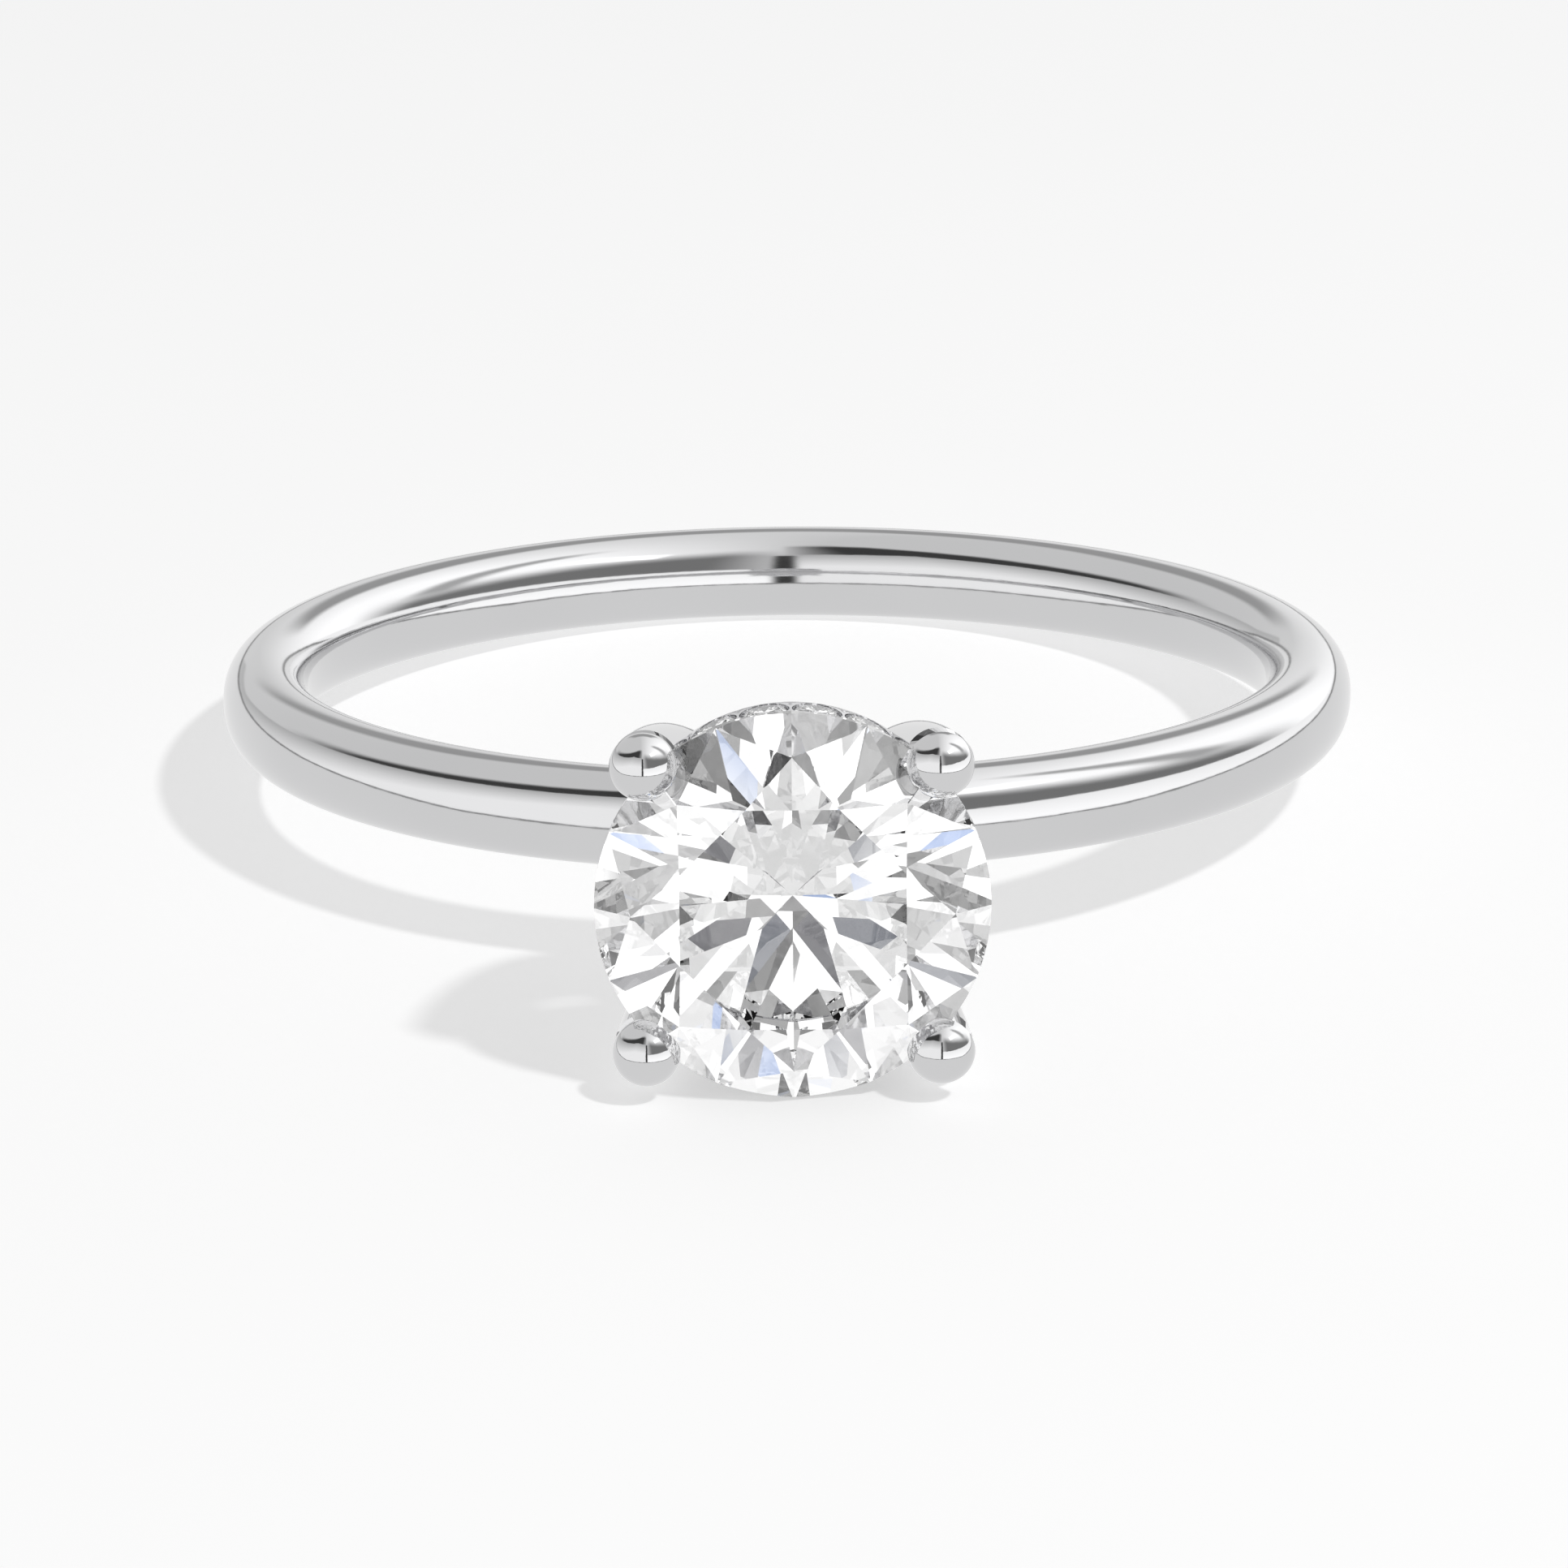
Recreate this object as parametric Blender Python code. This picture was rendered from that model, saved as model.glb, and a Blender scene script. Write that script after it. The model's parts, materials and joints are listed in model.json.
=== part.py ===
"""A round solitaire ring with four ball-ended prongs and a hidden halo, lying on its side at rest.

Metres, +Z up. The ring rests on z = 0 on the edge of its centre stone and on the far end of its band.
The stone looks along -Y and a little up, and the origin is under the middle of the ring.

Two frames are used while building. In the ring frame the finger runs along Z and the stone is on the -Y
side. In the head frame, Z is the stone's own axis, measured from the middle of the finger hole.
"""

import math

import bmesh
import bpy
from mathutils import Matrix, Vector
from mathutils.geometry import interpolate_bezier

MM = 0.001

# Band
FINGER_DIAMETER = 17.35 * MM
BAND_WALL = 1.50 * MM
BAND_WIDTH = 1.70 * MM
BAND_FULLNESS = 2.2  # power of the section's superellipse: 2 is an ellipse, more is fuller

# Centre stone, a round brilliant
STONE_DIAMETER = 6.50 * MM
TABLE_SHARE = 0.615  # table across its corners over the stone's diameter, the cutter's usual measure
CROWN_ANGLE = math.radians(34.5)
PAVILION_ANGLE = math.radians(40.8)
GIRDLE_HALF = 0.10 * MM
STAR_SHARE = 0.52  # how far the star facets reach from the table towards the girdle
LOWER_HALF_SHARE = 0.78  # how far the lower half facets reach from the girdle towards the culet
CULET_GAP = 1.72 * MM  # from the band's outer surface to the point of the stone

# Prongs
PRONG_COUNT = 4
TIP_HEIGHT = 0.54 * MM  # half the height of the ball, which is as wide as the shoulder
SHOULDER_RADIUS = 0.56 * MM
FOOT_RADIUS = 0.36 * MM
TIP_OUTSIDE = 0.17 * MM  # middle of the ball outside the girdle
TIP_ABOVE = 0.25 * MM  # middle of the ball above the girdle
PRONG_LEAN = math.radians(9)
PRONG_SWEEP = 0.62  # how far the lean holds down the prong, over the prong's rise
FOOT_SWEEP = 0.42  # how far the foot runs outwards before it turns up, over the prong's rise
FOOT_LIFT = 0.02  # how far the foot climbs on the way, over the prong's rise
FOOT_SPREAD = 0.65 * MM  # middle of a prong's foot from the stone's axis
FOOT_ABOVE = 0.72 * MM  # middle of a prong's foot above the band

# Base drum, between the band and the prongs' feet
BASE_RADIUS = 0.92 * MM
BASE_SINK = 0.35 * MM  # how far the drum reaches below the top of the band before it is cut to fit it
BASE_CAP = 0.16 * MM  # drum above the prongs' feet

# Gallery rail, a round wire that ties the prongs together
RAIL_RADIUS = 0.26 * MM
RAIL_BITE = 0.16 * MM  # how deep the rail sits in each prong
RAIL_PLACE = 0.34  # where the rail meets the prong, from foot 0 to tip 1

# Halo collar and its stones
COLLAR_INSET = 0.31 * MM  # collar's outer face inside the girdle
COLLAR_WALL = 0.59 * MM
COLLAR_RIM = 0.07 * MM  # metal above and below the halo stones
COLLAR_CHAMFER = 0.05 * MM
COLLAR_STONE_GAP = 0.12 * MM  # from the centre stone's pavilion to the collar
HALO_PER_SIDE = 4
HALO_SPACING = 0.07 * MM  # between two halo stones
HALO_PRONG_GAP = 0.07 * MM
HALO_SINK = 0.10 * MM  # girdle of a halo stone below the collar's face, so that its table is flush
HALO_TABLE_SHARE = 0.62

# Clearances that keep neighbours apart
SEAT_GAP = 0.015 * MM  # centre stone in its prongs
JOINT_GAP = 0.015 * MM  # metal piece against metal piece
SETTING_GAP = 0.015 * MM  # halo stone in its seat

# Fineness
BAND_STEPS = 90
BAND_SIDES = 14
PRONG_STEPS = 10
PRONG_SIDES = 12
DOME_STEPS = 4
DOME_FIRST = math.radians(10)  # height of the dome's first ring, as an angle from its foot
DOME_LAST = math.radians(75)
GIRDLE_SIDES = 32
HALO_SIDES = 16
COLLAR_STEPS = 64
RAIL_STEPS = 48
RAIL_SIDES = 8
BASE_STEPS = 24
SEAT_SIDES = 12
ON_PLANE = 0.0002 * MM  # a corner this near a facet's plane counts as on it

# Values worked out from those above
BAND_OUTER = FINGER_DIAMETER / 2 + BAND_WALL
STONE_RADIUS = STONE_DIAMETER / 2
PAVILION_DEPTH = GIRDLE_HALF + STONE_RADIUS * math.tan(PAVILION_ANGLE)
GIRDLE_Z = BAND_OUTER + CULET_GAP + PAVILION_DEPTH
FIRST_PRONG = math.pi / PRONG_COUNT
COLLAR_OUTER = STONE_RADIUS - COLLAR_INSET
COLLAR_INNER = COLLAR_OUTER - COLLAR_WALL
COLLAR_TOP = GIRDLE_Z - GIRDLE_HALF - (
    (STONE_RADIUS - COLLAR_INNER) * math.tan(PAVILION_ANGLE)
    + COLLAR_STONE_GAP / math.cos(PAVILION_ANGLE)
)


def material(name, colour, metallic, roughness, transmission=0.0, ior=1.5):
    made = bpy.data.materials.new(name)
    made.use_nodes = True
    shader = made.node_tree.nodes["Principled BSDF"]
    shader.inputs["Base Color"].default_value = (*colour, 1.0)
    shader.inputs["Metallic"].default_value = metallic
    shader.inputs["Roughness"].default_value = roughness
    shader.inputs["Transmission Weight"].default_value = transmission
    shader.inputs["IOR"].default_value = ior
    return made


def empty(name, parent=None):
    made = bpy.data.objects.new(name, None)
    bpy.context.scene.collection.objects.link(made)
    made.parent = parent
    return made


def solid(name, bm, parent, finish=None, smooth_under=None):
    """An object made from bm. smooth_under is the crease angle below which its faces shade smooth."""
    bmesh.ops.recalc_face_normals(bm, faces=bm.faces)
    mesh = bpy.data.meshes.new(name)
    bm.to_mesh(mesh)
    bm.free()
    if smooth_under is not None:
        mesh.shade_smooth()
        mesh.set_sharp_from_angle(angle=smooth_under)
    made = bpy.data.objects.new(name, mesh)
    bpy.context.scene.collection.objects.link(made)
    made.parent = parent
    if finish is None:
        made.hide_render = True
        made.display_type = "WIRE"
    else:
        mesh.materials.append(finish)
    return made


def cut(target, cutter):
    """Takes the cutter's space out of the target."""
    boolean = target.modifiers.new(f"cut_{cutter.name}", "BOOLEAN")
    boolean.operation = "DIFFERENCE"
    boolean.solver = "EXACT"
    boolean.object = cutter


def turned(profile, steps):
    """A closed profile of (radius, height) points spun once round Z."""
    bm = bmesh.new()
    corners = [bm.verts.new((radius, 0, height)) for radius, height in profile]
    edges = [bm.edges.new((a, b)) for a, b in zip(corners, corners[1:] + corners[:1])]
    bmesh.ops.spin(
        bm, geom=edges, cent=(0, 0, 0), axis=(0, 0, 1), angle=math.tau, steps=steps, use_merge=True
    )
    return bm


def turned_on_axis(profile, steps):
    """An open profile of (radius, height) points from axis to axis, spun once round Z."""
    bm = bmesh.new()
    corners = [bm.verts.new((radius, 0, height)) for radius, height in profile]
    edges = [bm.edges.new((a, b)) for a, b in zip(corners, corners[1:])]
    bmesh.ops.spin(
        bm, geom=edges, cent=(0, 0, 0), axis=(0, 0, 1), angle=math.tau, steps=steps, use_merge=True
    )
    bmesh.ops.remove_doubles(bm, verts=bm.verts, dist=ON_PLANE)
    return bm


def add_copy(bm, piece, placed):
    """Adds a copy of the bmesh piece to bm, moved by the matrix placed."""
    mesh = bpy.data.meshes.new("copy")
    piece.to_mesh(mesh)
    mesh.transform(placed)
    bm.from_mesh(mesh)
    bpy.data.meshes.remove(mesh)


# Band


def band_section(grow=0.0):
    """The section's superellipse as (radius, height) points. grow moves them outwards."""
    power = 2 / BAND_FULLNESS
    middle = (FINGER_DIAMETER + BAND_WALL) / 2

    def bulge(share, half):
        return math.copysign(abs(share) ** power, share) * (half + grow)

    turns = [math.tau * step / BAND_SIDES for step in range(BAND_SIDES)]
    return [
        (middle + bulge(math.cos(turn), BAND_WALL / 2), bulge(math.sin(turn), BAND_WIDTH / 2))
        for turn in turns
    ]


# Stones


def facet_planes(radius, girdle_half, table_share):
    """The planes of a full brilliant as (point, normal) pairs, with a main facet towards +X."""
    eighth = math.tau / 8
    crown_top = girdle_half + radius * (1 - table_share) * math.tan(CROWN_ANGLE)
    culet = -girdle_half - radius * math.tan(PAVILION_ANGLE)
    table_radius = radius * table_share

    def at(reach, turn, height):
        return Vector((reach * math.cos(turn), reach * math.sin(turn), height))

    def plane(a, b, c):
        normal = (b - a).cross(c - a).normalized()
        return a, normal if normal.dot(a) > 0 else -normal

    star_reach = table_radius + STAR_SHARE * (radius - table_radius)
    star_height = girdle_half + (radius - star_reach * math.cos(eighth / 2)) * math.tan(CROWN_ANGLE)
    half_reach = radius * (1 - LOWER_HALF_SHARE)
    half_height = culet + half_reach * math.cos(eighth / 2) * math.tan(PAVILION_ANGLE)
    planes = [(Vector((0, 0, crown_top)), Vector((0, 0, 1)))]
    for step in range(8):
        main = step * eighth
        crown_normal = at(math.sin(CROWN_ANGLE), main, math.cos(CROWN_ANGLE))
        pavilion_normal = at(math.sin(PAVILION_ANGLE), main, -math.cos(PAVILION_ANGLE))
        planes.append((at(radius, main, girdle_half), crown_normal))
        planes.append((at(radius, main, -girdle_half), pavilion_normal))
        star_tip = at(star_reach, main + eighth / 2, star_height)
        table_corners = at(table_radius, main, crown_top), at(table_radius, main + eighth, crown_top)
        planes.append(plane(star_tip, *table_corners))
        for near in (main, main + eighth):
            between = main + eighth / 2
            upper = at(radius, near, girdle_half), at(radius, between, girdle_half)
            lower = at(radius, near, -girdle_half), at(radius, between, -girdle_half)
            planes.append(plane(star_tip, *upper))
            planes.append(plane(at(half_reach, between, half_height), *lower))
    return planes


def ground_stone(radius, planes, sides, grow=0.0):
    """A stone ground from a round blank, one facet plane at a time. grow moves every face outwards."""
    blank = 2 * radius + 2 * grow
    bm = bmesh.new()
    bmesh.ops.create_cone(
        bm,
        cap_ends=True,
        segments=sides,
        radius1=radius + grow,
        radius2=radius + grow,
        depth=2 * blank,
    )
    for point, normal in planes:
        bmesh.ops.bisect_plane(
            bm,
            geom=bm.verts[:] + bm.edges[:] + bm.faces[:],
            dist=ON_PLANE,
            plane_co=point + normal * grow,
            plane_no=normal,
            clear_outer=True,
        )
        rim = [edge for edge in bm.edges if edge.is_boundary]
        if rim:
            bmesh.ops.contextual_create(bm, geom=rim)
    bmesh.ops.remove_doubles(bm, verts=bm.verts, dist=5 * ON_PLANE)
    bmesh.ops.dissolve_degenerate(bm, edges=bm.edges, dist=5 * ON_PLANE)
    return bm


def centre_stone_shape(grow=0.0):
    """The centre stone on the head's axis, with a table edge square to each side of the ring."""
    planes = facet_planes(STONE_RADIUS, GIRDLE_HALF, TABLE_SHARE)
    bm = ground_stone(STONE_RADIUS, planes, GIRDLE_SIDES, grow)
    placed = Matrix.Translation((0, 0, GIRDLE_Z)) @ Matrix.Rotation(math.tau / 16, 4, "Z")
    bmesh.ops.transform(bm, matrix=placed, verts=bm.verts)
    return bm


# Prongs


def prong_line(count):
    """Points along the middle of a prong from foot to ball, in the head frame's XZ plane."""
    tip = Vector((STONE_RADIUS + TIP_OUTSIDE, 0, GIRDLE_Z + TIP_ABOVE))
    foot = Vector((FOOT_SPREAD, 0, BAND_OUTER + FOOT_ABOVE))
    rise = tip.z - foot.z
    down = Vector((-math.sin(PRONG_LEAN), 0, -math.cos(PRONG_LEAN)))
    foot_handle = foot + Vector((FOOT_SWEEP * rise, 0, FOOT_LIFT * rise))
    tip_handle = tip + down * (PRONG_SWEEP * rise)
    return interpolate_bezier(foot, foot_handle, tip_handle, tip, count)


def prong_radius(share):
    """The wire's radius, from foot 0 to shoulder 1."""
    return FOOT_RADIUS + (SHOULDER_RADIUS - FOOT_RADIUS) * math.sin(share * math.pi / 2)


def prong_frames(grow):
    """Where each ring of a prong's skin stands, as matrices that carry a unit circle there."""
    line = prong_line(PRONG_STEPS + 1)
    frames = []
    for index, point in enumerate(line):
        before, after = line[max(index - 1, 0)], line[min(index + 1, PRONG_STEPS)]
        heading = (after - before).to_track_quat("Z", "Y").to_matrix().to_4x4()
        reach = prong_radius(index / PRONG_STEPS) + grow
        frames.append(Matrix.Translation(point) @ heading @ Matrix.Scale(reach, 4))
    shoulder = Matrix.Translation(point) @ heading
    for step in range(DOME_STEPS):
        rise = DOME_FIRST + (DOME_LAST - DOME_FIRST) * step / (DOME_STEPS - 1)
        lift = Matrix.Translation((0, 0, (TIP_HEIGHT + grow) * math.sin(rise)))
        frames.append(shoulder @ lift @ Matrix.Scale(reach * math.cos(rise), 4))
    return frames


def prong_shape(grow=0.0):
    """One prong in the head frame, over +X: a tapering wire with a domed end."""
    frames = prong_frames(grow)
    bm = bmesh.new()
    bmesh.ops.create_circle(bm, segments=PRONG_SIDES, radius=1.0, cap_ends=True)
    bmesh.ops.transform(bm, matrix=frames[0], verts=bm.verts)
    skin = bm.edges[:]
    for before, after in zip(frames, frames[1:]):
        grown = bmesh.ops.extrude_edge_only(bm, edges=skin)["geom"]
        rim = [item for item in grown if isinstance(item, bmesh.types.BMVert)]
        skin = [edge for edge in grown if isinstance(edge, bmesh.types.BMEdge) and edge.is_boundary]
        bmesh.ops.transform(bm, matrix=after @ before.inverted(), verts=rim)
    bmesh.ops.contextual_create(bm, geom=skin)
    return bm


def round_the_head(piece):
    """Copies of a piece at every prong's place, in one bmesh."""
    bm = bmesh.new()
    for index in range(PRONG_COUNT):
        turn = FIRST_PRONG + index * math.tau / PRONG_COUNT
        add_copy(bm, piece, Matrix.Rotation(turn, 4, "Z"))
    piece.free()
    return bm


# Rail, base and collar


def rail_shape():
    """The gallery rail, a round wire against the inner side of every prong."""
    line = prong_line(101)
    index = round(RAIL_PLACE * 100)
    along = (line[index + 1] - line[index - 1]).normalized()
    inwards = Vector((-along.z, 0, along.x))
    seat = prong_radius(RAIL_PLACE) + RAIL_RADIUS - RAIL_BITE
    middle = line[index] + inwards * seat
    turns = [math.tau * step / RAIL_SIDES for step in range(RAIL_SIDES)]
    profile = [
        (middle.x + RAIL_RADIUS * math.cos(turn), middle.z + RAIL_RADIUS * math.sin(turn))
        for turn in turns
    ]
    return turned(profile, RAIL_STEPS)


def base_shape():
    """The base drum with a small waist, before the band and the prongs are cut out of it."""
    low = BAND_OUTER - BASE_SINK
    top = BAND_OUTER + FOOT_ABOVE + FOOT_RADIUS + BASE_CAP
    edge = BASE_CAP / 2
    profile = [
        (0, low),
        (BASE_RADIUS, low),
        (BASE_RADIUS - edge, (low + top) / 2),
        (BASE_RADIUS, top - edge),
        (BASE_RADIUS - edge, top),
        (0, top),
    ]
    return turned_on_axis(profile, BASE_STEPS)


def halo_pitch():
    """The angle from one halo stone to the next, which fills the space between two prongs."""
    half_prong = math.asin((SHOULDER_RADIUS + HALO_PRONG_GAP) / (STONE_RADIUS + TIP_OUTSIDE))
    return (math.tau / PRONG_COUNT - 2 * half_prong) / HALO_PER_SIDE


def halo_radius():
    """The radius of a halo stone: as large as its pitch leaves room for."""
    return COLLAR_OUTER * math.sin(halo_pitch() / 2) - HALO_SPACING / 2


def collar_height():
    return 2 * (halo_radius() + COLLAR_RIM)


def collar_shape():
    low = COLLAR_TOP - collar_height()
    edge = COLLAR_CHAMFER
    profile = [
        (COLLAR_INNER, low),
        (COLLAR_OUTER - edge, low),
        (COLLAR_OUTER, low + edge),
        (COLLAR_OUTER, COLLAR_TOP - edge),
        (COLLAR_OUTER - edge, COLLAR_TOP),
        (COLLAR_INNER, COLLAR_TOP),
    ]
    return turned(profile, COLLAR_STEPS)


def halo_places():
    """Where each halo stone sits: its own Z points straight out of the collar's face."""
    pitch = halo_pitch()
    middle_height = COLLAR_TOP - collar_height() / 2
    places = []
    for side in range(PRONG_COUNT):
        side_middle = side * math.tau / PRONG_COUNT
        for index in range(HALO_PER_SIDE):
            turn = side_middle + (index - (HALO_PER_SIDE - 1) / 2) * pitch
            outwards = Matrix.Rotation(turn, 4, "Z") @ Matrix.Rotation(math.pi / 2, 4, "Y")
            reach = Matrix.Translation((0, 0, COLLAR_OUTER - HALO_SINK))
            places.append(Matrix.Translation((0, 0, middle_height)) @ outwards @ reach)
    return places


def halo_stone_shape():
    """A small full-cut stone with its table up and its girdle at z = 0."""
    radius = halo_radius()
    girdle_half = radius * GIRDLE_HALF / STONE_RADIUS
    planes = facet_planes(radius, girdle_half, HALO_TABLE_SHARE)
    return ground_stone(radius, planes, HALO_SIDES)


def halo_seat_shape():
    """The space that one halo stone needs: its point, its girdle and the way out of the collar."""
    reach = (halo_radius() + SETTING_GAP) / math.cos(math.pi / SEAT_SIDES)
    girdle_half = halo_radius() * GIRDLE_HALF / STONE_RADIUS + SETTING_GAP
    depth = girdle_half + reach * math.tan(PAVILION_ANGLE)
    profile = [(0, -depth), (reach, -girdle_half), (reach, COLLAR_WALL / 2), (0, COLLAR_WALL / 2)]
    return turned_on_axis(profile, SEAT_SIDES)


# Resting pose


def at_rest(head_points, band_points):
    """The ring frame's place when the head and the band both touch z = 0, centred on the origin."""

    def lowest(points, angle):
        return min(p.z * math.cos(angle) - p.y * math.sin(angle) for p in points)

    flat, steep = 0.0, math.radians(30)
    for _ in range(40):
        angle = (flat + steep) / 2
        if lowest(head_points, angle) > lowest(band_points, angle):
            steep = angle
        else:
            flat = angle
    lean = Matrix.Rotation(-angle, 4, "X")
    along = [(lean @ p).y for p in head_points + band_points]
    shift = Vector((0, -(min(along) + max(along)) / 2, -lowest(band_points, angle)))
    return Matrix.Translation(shift) @ lean


def build_ring():
    for old in list(bpy.data.objects):
        bpy.data.objects.remove(old, do_unlink=True)

    band_gold = material("band_white_gold", (0.86, 0.86, 0.87), 1.0, 0.06)
    prong_gold = material("prong_white_gold", (0.87, 0.87, 0.88), 1.0, 0.05)
    head_gold = material("head_white_gold", (0.85, 0.85, 0.86), 1.0, 0.08)
    diamond = material("centre_diamond", (1.0, 1.0, 1.0), 0.0, 0.0, 1.0, 2.417)
    melee = material("halo_diamond", (0.97, 0.98, 1.0), 0.0, 0.0, 1.0, 2.417)

    ring = empty("ring")
    head = empty("head", ring)
    head.rotation_euler = (math.pi / 2, 0, 0)
    smooth = math.radians(40)

    shank = solid("shank", turned(band_section(), BAND_STEPS), ring, band_gold, smooth)
    stone = solid("centre_stone", centre_stone_shape(), head, diamond)
    stone_room = solid("room_for_stone", centre_stone_shape(SEAT_GAP), head)
    prongs_room = solid("room_for_prongs", round_the_head(prong_shape(JOINT_GAP)), head)
    prong_names = ("right_upper", "left_upper", "left_lower", "right_lower")
    prongs = []
    for index, name in enumerate(prong_names):
        prong = solid(f"prong_{name}", prong_shape(), head, prong_gold, smooth)
        prong.rotation_euler = (0, 0, FIRST_PRONG + index * math.tau / PRONG_COUNT)
        cut(prong, stone_room)
        prongs.append(prong)

    rail = solid("gallery_rail", rail_shape(), head, head_gold, smooth)
    cut(rail, prongs_room)

    base = solid("base_drum", base_shape(), head, head_gold, smooth)
    cut(base, solid("room_for_band", turned(band_section(JOINT_GAP), BAND_STEPS), ring))
    cut(base, prongs_room)

    collar = solid("halo_collar", collar_shape(), head, head_gold, smooth)
    seats = bmesh.new()
    seat = halo_seat_shape()
    for index, place in enumerate(halo_places()):
        add_copy(seats, seat, place)
        halo_stone = solid(f"halo_stone_{index + 1:02d}", halo_stone_shape(), head, melee)
        halo_stone.matrix_local = place
    seat.free()
    cut(collar, solid("room_for_halo_stones", seats, head))
    cut(collar, prongs_room)

    bpy.context.view_layer.update()
    in_ring = head.matrix_local
    head_points = [in_ring @ v.co for v in stone.data.vertices]
    for prong in prongs:
        head_points += [in_ring @ prong.matrix_local @ v.co for v in prong.data.vertices]
    ring.matrix_world = at_rest(head_points, [v.co.copy() for v in shank.data.vertices])
    bpy.context.view_layer.update()


build_ring()
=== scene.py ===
"""A white-gold solitaire ring with a hidden halo, lying on its side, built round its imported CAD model.

Laid out as an add-on: sizes and colours are properties, each piece or group of like pieces has an
operator, and a panel in the 3D view's sidebar lists them. Everything is in metres, +Z up.

The ring frame has the finger along its Z and the centre stone on its -Y side. The head frame's Z is the
centre stone's axis, measured from the middle of the finger hole. The CAD model says where both lie.
"""

import json
import math

import bmesh
import bpy
from bpy.props import FloatProperty, FloatVectorProperty, IntProperty, PointerProperty
from mathutils import Matrix, Vector
from mathutils.geometry import interpolate_bezier


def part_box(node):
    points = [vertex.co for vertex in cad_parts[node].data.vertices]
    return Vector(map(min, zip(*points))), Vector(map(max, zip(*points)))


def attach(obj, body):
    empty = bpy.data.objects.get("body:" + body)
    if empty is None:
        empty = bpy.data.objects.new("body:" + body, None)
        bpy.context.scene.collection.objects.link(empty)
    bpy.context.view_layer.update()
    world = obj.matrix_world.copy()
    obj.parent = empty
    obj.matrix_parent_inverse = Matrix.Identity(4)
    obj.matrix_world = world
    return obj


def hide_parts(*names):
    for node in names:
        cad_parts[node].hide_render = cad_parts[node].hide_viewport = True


bl_info = {
    "name": "Hidden halo solitaire ring",
    "version": (1, 0, 0),
    "blender": (4, 5, 0),
    "location": "3D View > Sidebar > Ring",
    "description": "Builds a solitaire ring, its stones and a small studio round a packed CAD model",
    "category": "Object",
}

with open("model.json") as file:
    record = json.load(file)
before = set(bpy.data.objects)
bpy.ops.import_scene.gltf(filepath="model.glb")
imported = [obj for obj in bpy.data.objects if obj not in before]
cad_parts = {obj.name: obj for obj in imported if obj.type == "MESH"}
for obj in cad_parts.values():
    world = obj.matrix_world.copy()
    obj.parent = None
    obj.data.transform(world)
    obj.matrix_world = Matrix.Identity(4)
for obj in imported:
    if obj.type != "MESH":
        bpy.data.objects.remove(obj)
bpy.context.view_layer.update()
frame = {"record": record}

MM = 0.001
BODY = "root"


# Where the ring lies, from the CAD model


def ring_centre():
    """The middle of the finger hole: the band is the same on both sides of it."""
    low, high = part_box("shank")
    return (low + high) / 2


def head_axis():
    """The centre stone's axis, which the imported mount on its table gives."""
    return Vector(frame["record"]["mounts"][0]["axis"]).normalized()


def table_height():
    """The stone's table above the middle of the finger hole, along the head's axis."""
    return (Vector(frame["record"]["mounts"][0]["pos_m"]) - ring_centre()).dot(head_axis())


def width_of(node):
    low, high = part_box(node)
    return high.x - low.x


def head_place():
    """Carries the head frame into the row frame."""
    axis = head_axis()
    across = Vector((1, 0, 0))
    turned_so = Matrix((across, axis.cross(across), axis)).transposed().to_4x4()
    return Matrix.Translation(ring_centre()) @ turned_so


def ring_place():
    """Carries the ring frame into the row frame: its -Y is the head's axis."""
    return head_place() @ Matrix.Rotation(-math.pi / 2, 4, "X")


# Colour


def linear(code):
    """An sRGB hex colour as linear red, green and blue."""
    shares = [int(code[at : at + 2], 16) / 255 for at in (1, 3, 5)]
    return tuple(s / 12.92 if s <= 0.04045 else ((s + 0.055) / 1.055) ** 2.4 for s in shares)


# Settings


class RingBandSettings(bpy.types.PropertyGroup):
    outer_diameter: FloatProperty(
        name="Outer diameter", description="Across the band, outside", default=width_of("shank"),
        unit="LENGTH", precision=5,
    )
    wall: FloatProperty(
        name="Wall", description="From the finger hole to the outer face", default=1.50 * MM,
        unit="LENGTH", precision=5,
    )
    width: FloatProperty(
        name="Width", description="Along the finger", default=1.70 * MM, unit="LENGTH", precision=5
    )
    fullness: FloatProperty(
        name="Fullness", description="2 makes the section an ellipse, and more is fuller", default=2.2
    )
    colour: FloatVectorProperty(
        name="Colour", description="Rhodium plate's colour", default=linear("#D6D6D7"),
        subtype="COLOR", min=0, max=1,
    )


class RingStoneSettings(bpy.types.PropertyGroup):
    diameter: FloatProperty(
        name="Diameter", description="Across the girdle", default=width_of("centre_stone"),
        unit="LENGTH", precision=5,
    )
    table_share: FloatProperty(
        name="Table", description="Table over the stone's diameter", default=0.615, min=0.3, max=0.9
    )
    crown_angle: FloatProperty(
        name="Crown angle", description="Main crown facets from the girdle's plane",
        default=math.radians(34.5), subtype="ANGLE",
    )
    pavilion_angle: FloatProperty(
        name="Pavilion angle", description="Main pavilion facets from the girdle's plane",
        default=math.radians(40.8), subtype="ANGLE",
    )
    girdle_half: FloatProperty(
        name="Half girdle", description="Half the girdle's thickness", default=0.10 * MM,
        unit="LENGTH", precision=5,
    )
    girdle_sides: IntProperty(
        name="Girdle sides", description="Flats round the girdle", default=96, min=16
    )
    colour: FloatVectorProperty(
        name="Colour", description="Colour of the light that comes through", default=linear("#FFFFFF"),
        subtype="COLOR", min=0, max=1,
    )


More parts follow.
